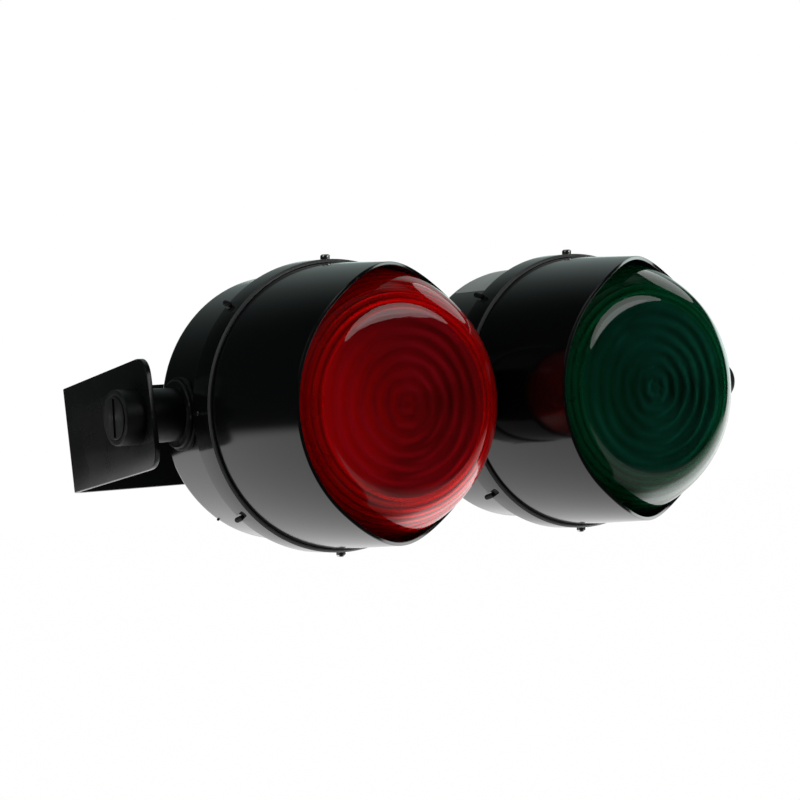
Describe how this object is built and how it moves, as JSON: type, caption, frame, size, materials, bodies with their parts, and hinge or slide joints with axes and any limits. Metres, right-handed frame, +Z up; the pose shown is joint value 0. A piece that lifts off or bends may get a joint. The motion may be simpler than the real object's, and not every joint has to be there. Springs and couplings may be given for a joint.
{
  "type": "twin led signal lamp on a u bracket",
  "caption": "Red and green round signal lamps with hooded cowls, side by side on one pivot between the flanges of a steel U bracket.",
  "frame": {"origin": "centre of the bracket's mounting face", "axes": "+Y into the wall, the lamps face -Y, +X from the red lamp to the green one along the pivot line, +Z up"},
  "size_m": [0.4262, 0.2284, 0.1651],
  "materials": {
    "housing": "black moulded, semi-gloss",
    "bracket_paint": "black satin paint",
    "lens_red": "clear red moulding, polished",
    "lens_green": "clear green moulding, polished",
    "fitting": "black moulded, satin",
    "seal_rubber": "black rubber",
    "bright_steel": "bright zinc plate",
    "nut_brass": "turned brass",
    "circuit_board": "white solder resist",
    "led_package": "pale phosphor cap",
    "wound_core": "taped winding",
    "capacitor_sleeve": "shrunk sleeve",
    "terminal_plastic": "green moulded"
  },
  "bodies": {
    "bracket": {"bracket": "bracket_paint"},
    "lamps": {"blanking_plug": "fitting", "coupling_collar": "seal_rubber", "coupling_nipple": "nut_brass", "gland_body": "fitting", "gland_nut": "fitting", "gland_seal": "seal_rubber", "green_base_shell": "housing", "green_capacitor": "capacitor_sleeve", "green_choke": "wound_core", "green_cover_screws": "bright_steel", "green_cowl": "housing", "green_driver_board": "circuit_board", "green_driver_screws": "bright_steel", "green_led_board": "circuit_board", "green_led_board_screws": "bright_steel", "green_leds": "led_package", "green_lens": "lens_green", "green_lens_gasket": "seal_rubber", "green_lock_nuts": "nut_brass", "green_terminal_block": "terminal_plastic", "left_disc": "fitting", "left_lock_ring": "fitting", "left_seal": "seal_rubber", "left_spacer": "fitting", "left_stem": "nut_brass", "red_base_shell": "housing", "red_capacitor": "capacitor_sleeve", "red_choke": "wound_core", "red_cover_screws": "bright_steel", "red_cowl": "housing", "red_driver_board": "circuit_board", "red_driver_screws": "bright_steel", "red_led_board": "circuit_board", "red_led_board_screws": "bright_steel", "red_leds": "led_package", "red_lens": "lens_red", "red_lens_gasket": "seal_rubber", "red_lock_nuts": "nut_brass", "red_terminal_block": "terminal_plastic", "right_disc": "fitting", "right_lock_ring": "fitting", "right_seal": "seal_rubber", "right_spacer": "fitting", "right_stem": "nut_brass"}
  },
  "joints": [
    {"name": "tilt", "type": "hinge", "parent": "bracket", "child": "lamps", "pos_m": [0, -0.095, 0], "axis": [1, 0, 0], "range_deg": [-68, 52]}
  ]
}
